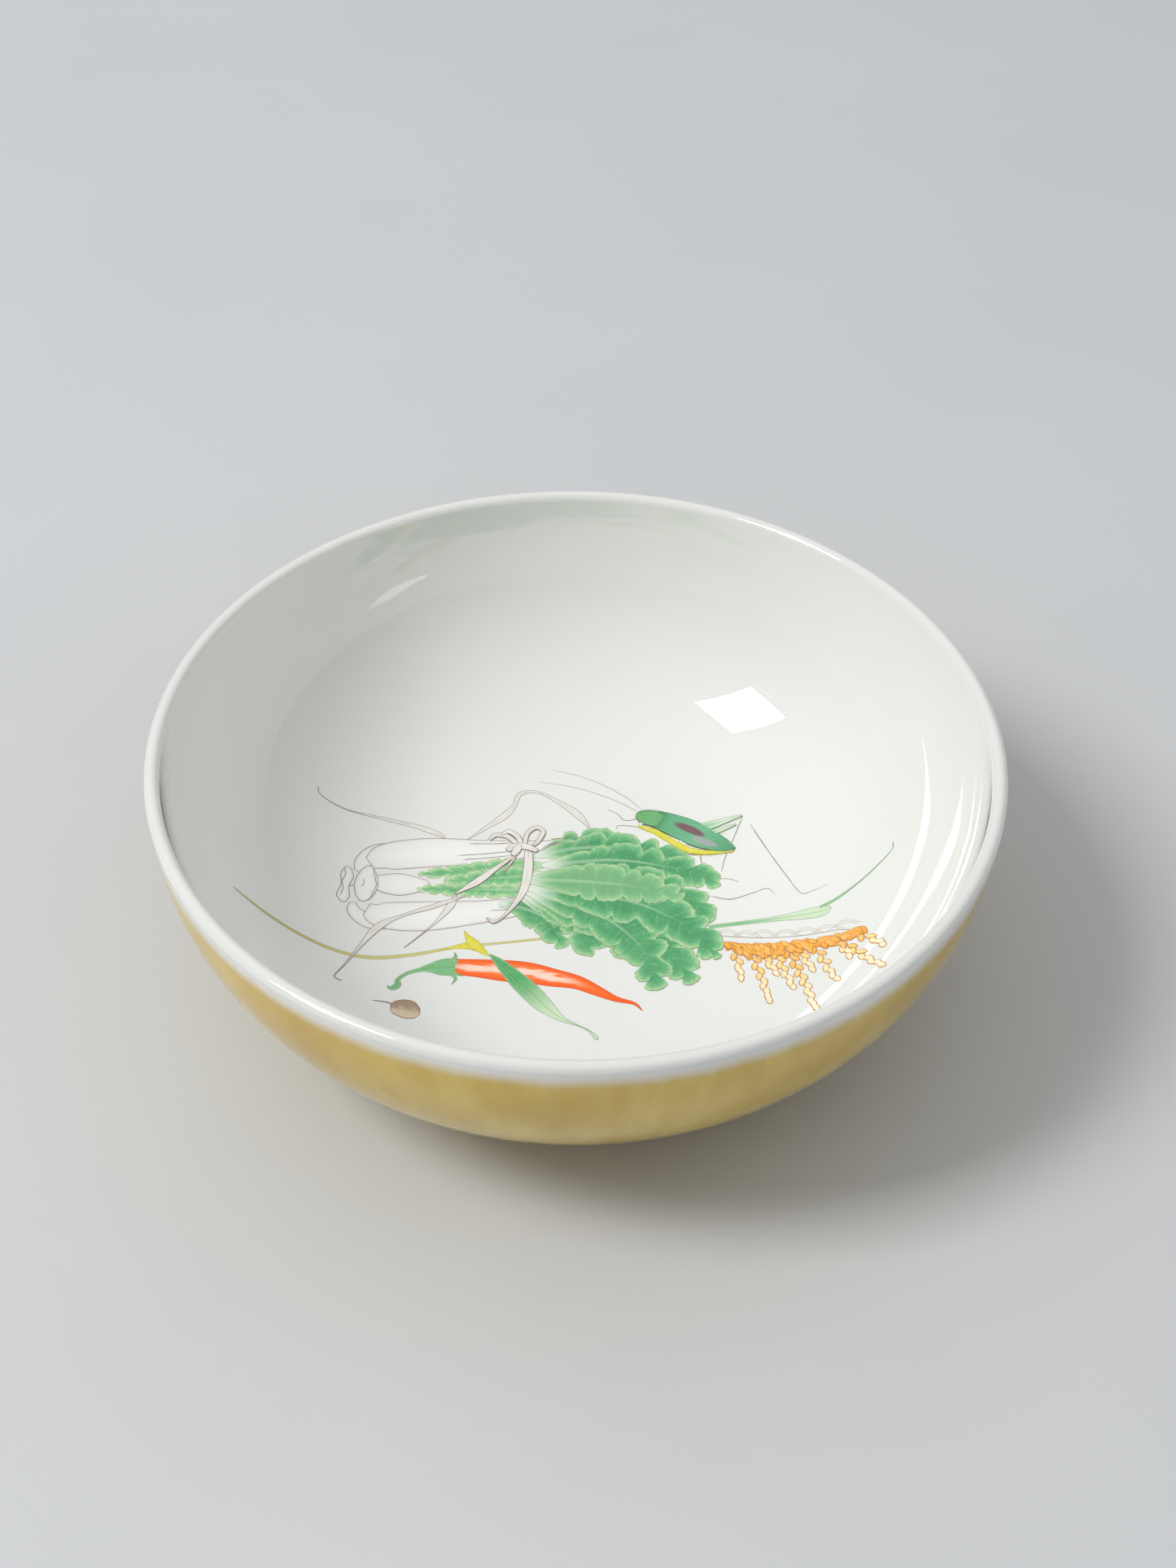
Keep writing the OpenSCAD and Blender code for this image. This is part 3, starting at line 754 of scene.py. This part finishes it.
def build_cabbage():
    outer = Marks()
    for i, (spine, left, right) in enumerate(OUTER_LEAVES):
        tone = rng.uniform(0, 0.4)
        outer.leaf(spine, left, right, 3.5, 1.35, 0.2, 28, (i + 1) * STEP_UP, tone, 0.7 * i)
    outer.leaf(*MIDDLE_LEAF, 2.6, 1.0, 0.22, 30, 11 * STEP_UP, 0.8, 1.2)
    green = leaf_green("cabbage_green", rgb(62, 154, 98), rgb(96, 178, 120), rgb(172, 214, 160), 0.2)
    outer.build("cabbage_leaves_outer", green, "cabbage_leaves", "cabbage_frills", slot="deep_green_enamel")
    heart = Marks()
    for i, (spine, left, right) in enumerate(HEART_LEAVES):
        heart.leaf(spine, left, right, 1.7, 0.6, 0.15, 20, (i + 2) * STEP_UP, 0.2 * i, 0.7 * i)
    heart_green = leaf_green("heart_green", rgb(84, 172, 104), rgb(120, 194, 132), rgb(198, 228, 178), 0.02)
    heart.build("cabbage_heart", heart_green, slot="deep_green_enamel")


# Everything that is drawn as a ribbon is a list of points of (x, y, half width)
STALKS = [
    [(-24.9, 4.6, 0.4), (-24.2, 6.4, 1.0), (-22.6, 8.2, 1.1), (-20, 9.4, 0.6)],
    [(-25, -0.2, 0.4), (-24.6, -1.6, 0.9), (-23, -2.8, 1.0), (-21, -3.2, 0.5)],
    [(-23.6, 6.2, 0.9), (-21.5, 7.6, 2.0), (-17, 8.8, 2.3), (-11, 9.4, 1.9), (-5, 10.2, 1.3), (1, 11.2, 0.7)],
    [(-23.4, -0.9, 1), (-21.5, -1.5, 2), (-17, -1.2, 2.3), (-11, -0.1, 1.8), (-5, 1.2, 1.3), (1, 1.8, 0.8)],
    [(-23, 3.3, 0.8), (-21.6, 3.4, 1.5), (-19.6, 3.5, 1.7), (-17.2, 3.7, 0.9), (-16.6, 3.8, 0.5)],
]
STALK_RIBS = [
    [(-12.4, 10.6), (-9, 10.8), (-6, 11.3)],
    [(-13.6, 8.6), (-10, 9.2), (-7, 9.8)],
    [(-13, 8), (-10, 8.5), (-7.6, 9)],
    [(-8.6, 0.7), (-5.6, 1.4), (-2.6, 1.8)],
    [(-9.6, 0.2), (-6.6, 0.6), (-3, 1)],
    [(-3, 11.8), (-0.6, 12.1), (1.4, 11.9)],
    [(-3.4, 10.8), (-0.6, 11.2), (2, 11)],
]
ROOT_BACK = [(-26, -0.5, 0.25), (-26.1, 0.5, 0.75), (-26, 2.2, 0.5), (-25.9, 3.8, 0.75), (-25.9, 5, 0.3)]
ROOT_FRONT = [(-24, 0.2, 0.3), (-23.9, 1.2, 1.0), (-23.7, 2.9, 1.35), (-23.6, 4.6, 1.0), (-23.5, 5.8, 0.3)]
ROOT_LINES = [
    [(-23.2, 0.5), (-22.9, 1.8), (-22.6, 3), (-22.9, 4.4), (-23.1, 5.5)],
    [(-24.2, 2.4), (-24, 3), (-24.1, 3.7)],
    [(-26.4, 0.4), (-26.2, 1.6), (-26.4, 2.6), (-26.1, 3.8), (-26.3, 4.7)],
    [(-25.6, 2.2), (-25, 2.4)],
]


def build_stalks():
    white = Marks()
    for i, points in enumerate(STALKS):
        white.ribbon(points, FILM, (i // 2) * STEP_UP, 20, 0.2)
    white.ribbon(ROOT_BACK, FILM, 2 * STEP_UP, 12, 0.8)
    white.ribbon(ROOT_FRONT, FILM, 3 * STEP_UP, 14, 0.8)
    white.build("cabbage_stalks_white", stalk_white(), "cabbage_stalks", slot="clear_glaze")
    lines = Marks()
    for points in STALK_RIBS + ROOT_LINES:
        lines.line(points, 0.1, layer=4 * STEP_UP)
    lines.build("cabbage_stalk_lines", drawn_line(), slot="sepia_line")


# Straw strands: the layer each lies on, then its points
STRAW = [
    (0, [(-15.3, 11.3, 0.12), (-16.4, 12, 0.4), (-19, 12.8, 0.32), (-23, 13.1, 0.2), (-27, 13, 0.09),
         (-29.6, 13.6, 0.06), (-30, 14.5, 0.05)]),
    (0, [(-12.7, 11.2, 0.1), (-10.4, 13.4, 0.28), (-8.4, 15.4, 0.5), (-7.4, 17, 0.3), (-6.7, 18.9, 0.3),
         (-4.6, 19.2, 0.2), (-2, 17.6, 0.3), (0, 15.9, 0.5), (1.5, 13.8, 0.14)]),
    (13, [(-7.2, 8.8, 0.16), (-9.2, 6.8, 0.34), (-11.2, 4.6, 0.5), (-13.6, 2.5, 0.12)]),
    (4, [(-13.6, 2.5, 0.1), (-14, 0.8, 0.45), (-15.4, -1.8, 0.2), (-17, -4, 0.09), (-18.8, -6.3, 0.05)]),
    (5, [(-12.4, 2.4, 0.1), (-15.6, 0.6, 0.34), (-19.4, -1.4, 0.22), (-21.8, -3.3, 0.5),
         (-23.4, -6.4, 0.24), (-25, -10.4, 0.09), (-25.8, -12.6, 0.06), (-25, -13.1, 0.05)]),
    (13, [(-5.5, 9.6, 0.5), (-5.5, 6.6, 0.58), (-5.9, 3.6, 0.5), (-6.9, 1.2, 0.3), (-8.2, -0.9, 0.16),
          (-9.2, -1.6, 0.24), (-9.9, -1, 0.1)]),
    (13, [(-7, 8.8, 0.14), (-7.6, 7.6, 0.16), (-8.3, 6.3, 0.12)]),
    (12, [(-6.8, 10.7, 0.3), (-8, 11.9, 0.36), (-9.4, 12.1, 0.34), (-10.1, 11.3, 0.2)]),
    (13, [(-6.4, 10.8, 0.3), (-6.9, 12, 0.36), (-7.9, 12.7, 0.34), (-8.7, 12.2, 0.2)]),
    (14, [(-6, 10.8, 0.26), (-5.7, 12.6, 0.3), (-4.7, 13.5, 0.3), (-3.9, 12.9, 0.3), (-4.4, 11.4, 0.28),
          (-5, 10.6, 0.2)]),
    (15, [(-8, 9.7, 0.3), (-7, 10.4, 0.5), (-5.8, 10.4, 0.5), (-4.5, 9.8, 0.3)]),
    (16, [(-7.3, 8.9, 0.3), (-6.9, 9.8, 0.5), (-6.6, 10.7, 0.3)]),
]


def build_straw():
    marks = Marks()
    for level, points in STRAW:
        marks.ribbon(points, FILM, level * STEP_UP, rise=0.12)
    marks.build("straw_tie_band", straw(), "straw_tie", slot="straw_enamel")


POD = [
    (-13.2, -8.7, 1.2), (-10.4, -8.8, 1.4), (-7.5, -9, 1.65), (-5, -9.2, 1.6), (-2.5, -9.8, 1.4),
    (0.3, -10.5, 1.05), (2.6, -11.8, 0.75), (4.6, -13, 0.42), (6.6, -13.7, 0.22), (7.5, -14.8, 0.06),
]
# The cap with its teeth, and last the hooked stem
CAP = [
    [(-16.9, -9.5, 0.3), (-16, -9.2, 0.6), (-14.8, -9, 1.15), (-13.6, -8.8, 1.35), (-12.9, -8.8, 1.25)],
    [(-13.7, -8, 0.3), (-13.1, -7.3, 0.24), (-13.2, -6.5, 0.04)],
    [(-13.6, -9.7, 0.3), (-12.9, -10.5, 0.2), (-13.3, -11.5, 0.04)],
    [(-13.3, -8.1, 0.45), (-12.6, -8, 0.25), (-11.9, -7.9, 0.04)],
    [(-13.3, -9, 0.4), (-12.5, -9, 0.2), (-11.8, -9.2, 0.04)],
    [(-13.3, -9.6, 0.3), (-12.6, -9.9, 0.16), (-12.1, -10.1, 0.04)],
    [(-16.6, -9.4, 0.34), (-18.1, -10.1, 0.26), (-19.1, -11.2, 0.26), (-19.1, -12.1, 0.4),
     (-19.7, -12.7, 0.34), (-20.2, -12.5, 0.1)],
]


def build_chilli():
    pod = Marks()
    pod.ribbon(POD, 0.03, 0, 24, rise=0.5)
    pod.build("chilli_pod", pod_red(), "chilli_fruit", slot="orange_red_enamel")
    cap = Marks()
    for i, points in enumerate(CAP):
        cap.ribbon(points, FILM, (1 + i % 2) * STEP_UP)
    green = blended_green("cap_green", rgb(112, 188, 122), rgb(176, 216, 170), rgb(124, 190, 132))
    cap.build("chilli_cap_green", green, "chilli_cap", slot="leaf_green_enamel")


STEM = [
    (-36.9, -5.7, 0.12), (-35, -6.2, 0.2), (-31, -7.3, 0.24), (-27, -8.2, 0.27), (-23, -8.4, 0.28),
    (-18, -7.3, 0.26), (-13, -5.7, 0.2), (-8, -4.7, 0.18), (-3.2, -3.8, 0.18),
]
SHEATH = [
    [(-14.4, -6.1, 0.1), (-12.8, -5.6, 0.34), (-11.4, -5.4, 0.6), (-10, -6.2, 0.3)],
    [(-12.3, -3.1, 0.05), (-11.9, -4, 0.34), (-11.2, -5, 0.66), (-10.4, -5.9, 0.5), (-9.3, -6.9, 0.08)],
]
BLADE = [
    [(15, -2.1, 0.3), (19.5, -1.6, 0.3), (23, -1.3, 0.42), (26, -1.3, 0.8), (27.6, -1.4, 0.75),
     (28.5, -1, 0.3)],
    [(27.4, -0.7, 0.2), (29, -0.2, 0.2), (31.4, 1, 0.12), (33.6, 2.3, 0.07), (35.3, 3.5, 0.05),
     (35.5, 4.4, 0.05)],
]
CROSS_LEAF = [
    (-9.3, -6.6, 0.12), (-8.2, -7.8, 0.6), (-6.6, -9.8, 1.0), (-4.8, -12, 1.2), (-3, -14.3, 1.0),
    (-1.2, -16.1, 0.4), (0.4, -17, 0.14), (1.8, -17.9, 0.14), (2.5, -18.9, 0.26), (2.7, -19.2, 0.1),
]


def build_grass():
    stem = Marks()
    stem.ribbon(STEM, FILM, 0, 8, rise=0.15)
    stem.build("grass_stem_long", stem_olive(), "grass_stem", slot="olive_enamel")
    sheath = ribbons(SHEATH, 1, 10)
    sheath.build("grass_sheath_yellow", sheath_yellow(), "grass_sheath", slot="yellow_enamel")
    blade = ribbons(BLADE, 1, 12)
    green = blended_green("blade_green", rgb(120, 194, 136), rgb(190, 224, 182), rgb(208, 230, 196))
    blade.build("grass_blade_green", green, "grass_blade", slot="leaf_green_enamel")
    cross = ribbons([CROSS_LEAF], 3, 16)
    cross_green = blended_green("cross_green", rgb(76, 168, 100), rgb(166, 212, 162), rgb(214, 234, 200))
    cross.build("cross_leaf_green", cross_green, "cross_leaf", slot="leaf_green_enamel")


# The millet's hanging branches, each from its top to its end
BRANCHES = [
    ((17.4, -4.8), (18.4, -10.2)), ((18.8, -4.8), (21.2, -14.4)), ((20.2, -4.8), (22.2, -10)),
    ((21.6, -4.9), (23.8, -12.8)), ((23, -5), (25.8, -17.4)), ((24.4, -5), (26, -10.4)),
    ((25.8, -5.1), (28.3, -13.4)), ((27.4, -5.4), (30, -10)), ((28.8, -5.6), (32.8, -14.2)),
    ((30, -5.8), (33.4, -10.6)),
]
EAR_STALK = [(15.6, -3.4), (18, -3.8), (22, -4.2), (26, -4.6), (29, -5), (31.2, -6.2)]
GRAIN_L = 1.3
GRAIN_W = 0.7
GRAIN_LEAN = 36  # degrees that grains at the top of a branch stand away from it, left and right in turn
EAR_GRAINS = 120
EAR_ROW = 30  # the first grains fill the ear evenly, and the others lie anywhere in it
HUSKS = 7  # pale double arcs above the ear


def build_millet():
    stalks, grains = Marks(), Marks()

    def half(share):
        return 0.03 + GRAIN_W / 2 * np.sin(np.pi * share**0.85) ** 0.6

    def grain(at, heading, layer, ripe):
        size = GRAIN_L * rng.uniform(0.9, 1.08)
        tip = at + size * np.array([np.cos(heading), np.sin(heading)])
        grains.strip([at, (at + tip) / 2, tip], half, half, 0.03, 12, layer, ripe, 0.08, 0.2)

    stalks.line(EAR_STALK, 0.1, layer=STEP_UP)
    for i in range(HUSKS):
        x = 15.4 + 2.1 * i + rng.uniform(-0.3, 0.3)
        y = -2.9 - 0.2 * i + rng.uniform(-0.2, 0.2)
        for lift in (0, 0.35):
            rising = [(x + lift, y - 0.5), (x + 1.2, y - 0.1 + lift)]
            falling = [(x + 2.3, y - 0.3 + lift), (x + 3.2 + lift, y - 1.1)]
            stalks.line(rising + falling, 0.08, layer=STEP_UP, tone=0.9)
    for i, (top, end) in enumerate(BRANCHES):
        top, end = np.array(top), np.array(end)
        middle = (top + end) / 2 + (0.35 * np.sin(i * 2.1), 0.5)
        path = even(smooth([top, middle, end]), GRAIN_L * 0.68)[0]
        stalks.line(path[:: max(len(path) // 4, 1)], 0.1)
        for k, at in enumerate(path[:-1]):
            toward = path[k + 1] - at
            share = k / (len(path) - 1)
            lean = np.radians((GRAIN_LEAN if k % 2 else -GRAIN_LEAN) * (1 - share) + rng.uniform(-7, 7))
            ripe = np.clip(1.1 - 1.5 * share + rng.uniform(-0.08, 0.08), 0, 1)
            grain(at, np.arctan2(toward[1], toward[0]) + lean, (2 + k % 3) * STEP_UP, ripe)
    for i in range(EAR_GRAINS):
        share = rng.uniform(0, 1) if i > EAR_ROW else i / EAR_ROW
        x = 16.6 + 14.6 * share
        y = -4.5 - 1.1 * share - rng.uniform(0, 2.1) * (1 - 0.6 * share) * min(share * 6, 1)
        heading = np.radians(rng.uniform(-72, -38))
        grain(np.array([x, y]), heading, (5 + i % 5) * STEP_UP, rng.uniform(0.8, 1))
    grains.build("millet_ears", grain_ochre(), "millet_grains", slot="ochre_enamel")
    stalks.build("millet_stems", drawn_line(), "millet_stalks", slot="sepia_line")


WINGS = [
    (7.1, 15.1, 0.5), (7.7, 15.3, 1.05), (8.8, 15.2, 1.25), (10.4, 14.5, 1.5), (12.4, 13.4, 1.75),
    (14.4, 12.1, 1.75), (16.2, 11, 1.35), (17.6, 10.3, 0.8), (18.4, 10, 0.15),
]
HEAD = [(7.1, 15, 0.45), (7.6, 15.2, 0.95), (8.6, 15.1, 1.15), (9.5, 14.8, 1.1), (9.9, 14.6, 0.7)]
THIGH = [
    [(13.4, 12.9, 0.7), (15.4, 13.7, 0.62), (17.4, 14.4, 0.4), (19.4, 14.9, 0.12)],
    [(14, 12, 0.5), (16, 12.7, 0.4), (18.6, 13.7, 0.16)],
]
BELLY = [
    (7.2, 13.9, 0.15), (9, 13.1, 0.4), (11, 11.5, 0.42), (13, 10, 0.45), (15.2, 9.5, 0.34), (18.2, 9.6, 0.12),
]
# Each leg or part of a leg: its points, then its width at the start and at the end
LEGS = [
    ([(19.4, 14.8), (18.4, 12), (17.2, 8.6), (16.7, 6.4)], 0.17, 0.12),
    ([(20.3, 13.5), (22, 9.6), (24, 5.2), (25.5, 2.1), (26.8, 2.1), (28.5, 2.5)], 0.17, 0.1),
    ([(15.4, 2.7), (17.6, 2.1), (20, 2.9), (21.8, 3.5), (22.7, 2.4)], 0.2, 0.1),
    ([(9.3, 12.9), (7.4, 13.8), (4.9, 14.1), (4.8, 13.3)], 0.16, 0.1),
    ([(7.3, 15.2), (5.7, 14.9), (4.7, 16), (3.6, 16.6)], 0.16, 0.09),
    ([(12.4, 9.9), (12.8, 9.4), (14, 9.2)], 0.24, 0.12),
    ([(14.4, 9.3), (14.5, 8), (15.4, 7)], 0.18, 0.12),
    ([(16, 5.4), (17.6, 5.3), (18.7, 4.7)], 0.15, 0.1),
]
LEG_SCALE = 0.8  # the legs are drawn this much finer
FEELERS = [
    [(7.8, 16.4), (6, 18.4), (3, 20.6), (0, 22), (-3.2, 22.8)],
    [(7.5, 16.1), (5, 17.8), (2, 19.3), (-1, 20.3), (-4.6, 20.9)],
]


def build_insect():
    body = Marks()
    body.ribbon(WINGS, 0.04, 14 * STEP_UP, 24, rise=0.4)
    body.ribbon(HEAD, 0.03, 17 * STEP_UP, 14, 1.0, rise=0.3)
    body.build("insect_wings", insect_green(), "insect_body", slot="blue_green_enamel")
    belly = ribbons([BELLY], 13, 8)
    belly.build("insect_underside", sheath_yellow(), "insect_belly", slot="yellow_enamel")
    limbs = Marks()
    for points, start, end in LEGS:
        limbs.line(points, start * LEG_SCALE, end * LEG_SCALE, layer=STEP_UP)
    for points in FEELERS:
        limbs.line(points, 0.1, 0.06)
    limbs.build("insect_limbs", drawn_line(), "insect_legs", slot="sepia_line")
    thighs = ribbons(THIGH, 15, 8)
    thigh_green = blended_green("thigh_green", rgb(156, 208, 164), rgb(208, 232, 204), rgb(218, 236, 214))
    thighs.build("insect_thighs", thigh_green, slot="leaf_green_enamel")


BEAN = [(-19.6, -15.8, 0.5), (-19.1, -15.8, 1.15), (-18, -15.8, 1.55), (-17, -15.9, 1.3), (-16.4, -15.9, 0.5)]


def build_bean():
    marks = Marks()
    marks.ribbon(BEAN, 0.04, 0, 16, rise=0.6)
    marks.line([(-19, -15.4), (-20.2, -15.1), (-21.6, -15.2)], 0.3, 0.12)
    marks.build("bean_seed", bean_brown(), "bean", slot="brown_enamel")


# ---------------------------------------------------------------- floor, light and camera
FLOOR_HALF = 1.5  # metres


def build_floor():
    s = Shader("pale_floor", 0.75, 1.45)
    s.bump(s.noise(1.5, 3), 0.02, 0.3)
    material = s.colour(s.mix(s.noise(60, 3), rgb(208, 211, 214), rgb(200, 203, 207)))
    corners = [(-1, -1), (1, -1), (1, 1), (-1, 1)]
    verts = [(x * FLOOR_HALF, y * FLOOR_HALF, 0) for x, y in corners]
    floor = make_object("floor", verts, [(0, 1, 2, 3)], material)


# The window. Azimuth 0 is beyond the bowl, and -90 is to its left.
WINDOW_AZIMUTH, WINDOW_ELEVATION = -107, 51  # degrees
# Two panels make it: one lights surfaces, and a brighter one in front of it shows in reflections only.
# Sizes and distances are in metres, powers in watts.
SOFT_PANEL = {"distance": 1.3, "width": 0.34, "height": 0.48, "power": 9.2, "colour": (1.0, 0.99, 0.97)}
GLEAM_PANEL = {"distance": 1.2, "width": 0.28, "height": 0.43, "power": 34, "colour": (1.0, 1.0, 1.0)}


def area_light(name, distance, width, height, power, colour):
    """A panel in the window's direction that faces the bowl."""
    a, e = np.radians(WINDOW_AZIMUTH), np.radians(WINDOW_ELEVATION)
    place = Vector((np.sin(a) * np.cos(e), np.cos(a) * np.cos(e), np.sin(e))) * distance
    data = bpy.data.lights.new(name, "AREA")
    data.shape = "RECTANGLE"
    data.size, data.size_y = width, height
    data.energy = power
    data.color = colour
    lamp = bpy.data.objects.new(name, data)
    lamp.location = place + Vector((0, 0, HEIGHT * MM / 2))
    lamp.rotation_euler = place.to_track_quat("Z", "Y").to_euler()
    lamp.visible_camera = False
    bpy.context.scene.collection.objects.link(lamp)
    return lamp


LIGHT_SIDE = (0.1, 0.2, 0.97)  # the room light comes mostly from above
ROOM_DARK = (0.4, 0.4, 0.41, 1)
ROOM_BRIGHT = (1.0, 1.0, 1.0, 1)
ROOM_STRENGTH = 0.7


def build_world():
    """Even room light that is strongest around LIGHT_SIDE and falls off away from it."""
    world = bpy.data.worlds.new("studio")
    world.use_nodes = True
    tree = world.node_tree
    direction = tree.nodes.new("ShaderNodeTexCoord")
    toward = tree.nodes.new("ShaderNodeVectorMath")
    toward.operation = "DOT_PRODUCT"
    toward.inputs[1].default_value = LIGHT_SIDE
    ramp = tree.nodes.new("ShaderNodeValToRGB")
    tree.links.new(direction.outputs["Generated"], toward.inputs[0])
    tree.links.new(toward.outputs["Value"], ramp.inputs[0])
    tree.links.new(ramp.outputs[0], tree.nodes["Background"].inputs["Color"])
    ramp.color_ramp.elements[0].color = ROOM_DARK
    ramp.color_ramp.elements[1].color = ROOM_BRIGHT
    tree.nodes["Background"].inputs["Strength"].default_value = ROOM_STRENGTH
    bpy.context.scene.world = world


def build_lights():
    soft = area_light("window", **SOFT_PANEL)
    soft.visible_glossy = False
    gleam = area_light("window_gleam", **GLEAM_PANEL)
    gleam.visible_diffuse = False
    build_world()
    bpy.context.scene.view_settings.view_transform = "Standard"


CAMERA_SIDE, CAMERA_BACK, CAMERA_UP = 0.028, 3.953, 3.534  # from the rim's centre, in rim radii
CAMERA_DOWN, CAMERA_ROLL = 42.8, 0.83  # degrees
LENS, SENSOR = 52.1, 36  # millimetres
NEAREST = 0.01  # metres; nothing closer to the camera is drawn


def build_camera():
    data = bpy.data.cameras.new("camera")
    data.lens = LENS
    data.sensor_width = SENSOR
    data.clip_start = NEAREST
    camera = bpy.data.objects.new("camera", data)
    rim = Vector((0, 0, RIM_Z * MM))
    camera.location = rim + Vector((CAMERA_SIDE, -CAMERA_BACK, CAMERA_UP)) * RIM_R * MM
    tilt = Euler((np.radians(90 - CAMERA_DOWN), 0, 0)).to_matrix()
    roll = Euler((0, 0, np.radians(CAMERA_ROLL))).to_matrix()
    camera.rotation_euler = (tilt @ roll).to_euler()
    bpy.context.scene.collection.objects.link(camera)
    bpy.context.scene.camera = camera


build_camera()
build_lights()
build_floor()
glaze = clear_glaze()
build_body()
build_inner_glaze(glaze)
build_yellow_glaze()
build_foot_glaze(glaze)
build_stalks()
build_cabbage()
build_straw()
build_chilli()
build_grass()
build_millet()
build_insect()
build_bean()
